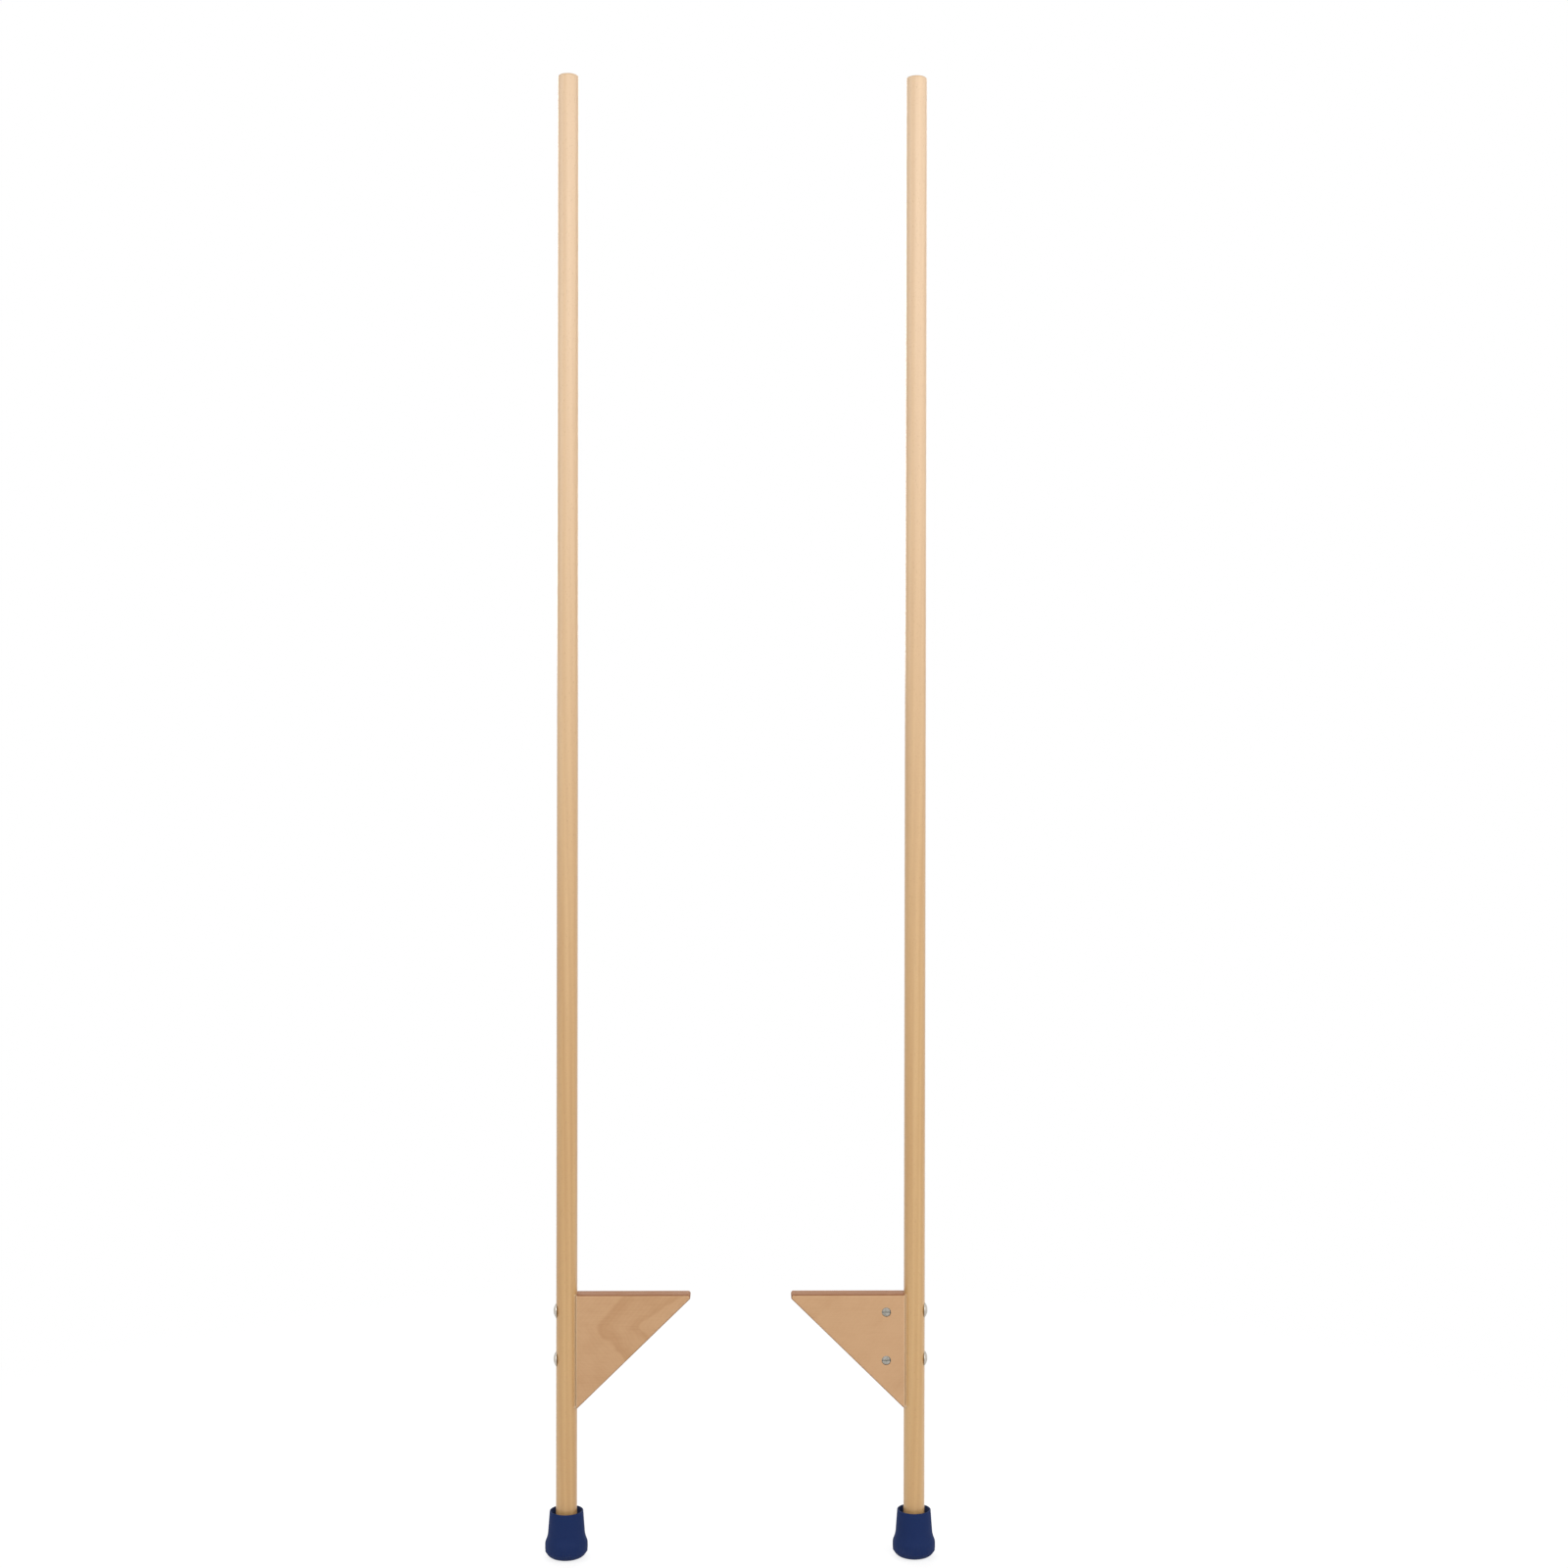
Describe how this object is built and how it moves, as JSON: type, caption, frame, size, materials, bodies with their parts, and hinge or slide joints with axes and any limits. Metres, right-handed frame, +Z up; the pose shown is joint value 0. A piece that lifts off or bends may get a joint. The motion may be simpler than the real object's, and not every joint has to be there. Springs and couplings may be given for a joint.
{
  "type": "pair of stilts",
  "caption": "Wooden walking stilts: tall round poles, bolted triangular plywood steps and flared rubber feet. The walker stands on the steps and holds the poles.",
  "frame": {"origin": "on the ground, midway between the two poles", "axes": "+Z up along the poles, +X from the left stilt to the right stilt, +Y away from the side that shows the left stilt's plain face"},
  "size_m": [0.5184, 0.0564, 1.965],
  "materials": {
    "beech": "clear satin varnish",
    "plywood": "clear satin varnish",
    "zinc_steel": "zinc plated",
    "navy_rubber": "matt moulded rubber"
  },
  "bodies": {
    "left_stilt": {"left_pole": "beech", "left_step_block": "plywood", "left_upper_bolt": "zinc_steel", "left_lower_bolt": "zinc_steel", "left_upper_barrel_nut": "zinc_steel", "left_lower_barrel_nut": "zinc_steel", "left_ferrule": "navy_rubber", "left_ferrule_washer": "zinc_steel"},
    "right_stilt": {"right_pole": "beech", "right_step_block": "plywood", "right_upper_bolt": "zinc_steel", "right_lower_bolt": "zinc_steel", "right_upper_barrel_nut": "zinc_steel", "right_lower_barrel_nut": "zinc_steel", "right_ferrule": "navy_rubber", "right_ferrule_washer": "zinc_steel"}
  },
  "joints": [
    {"name": "stride", "type": "slide", "parent": "left_stilt", "child": "right_stilt", "axis": [0, 1, 0], "range_m": [-0.35, 0.35]}
  ]
}
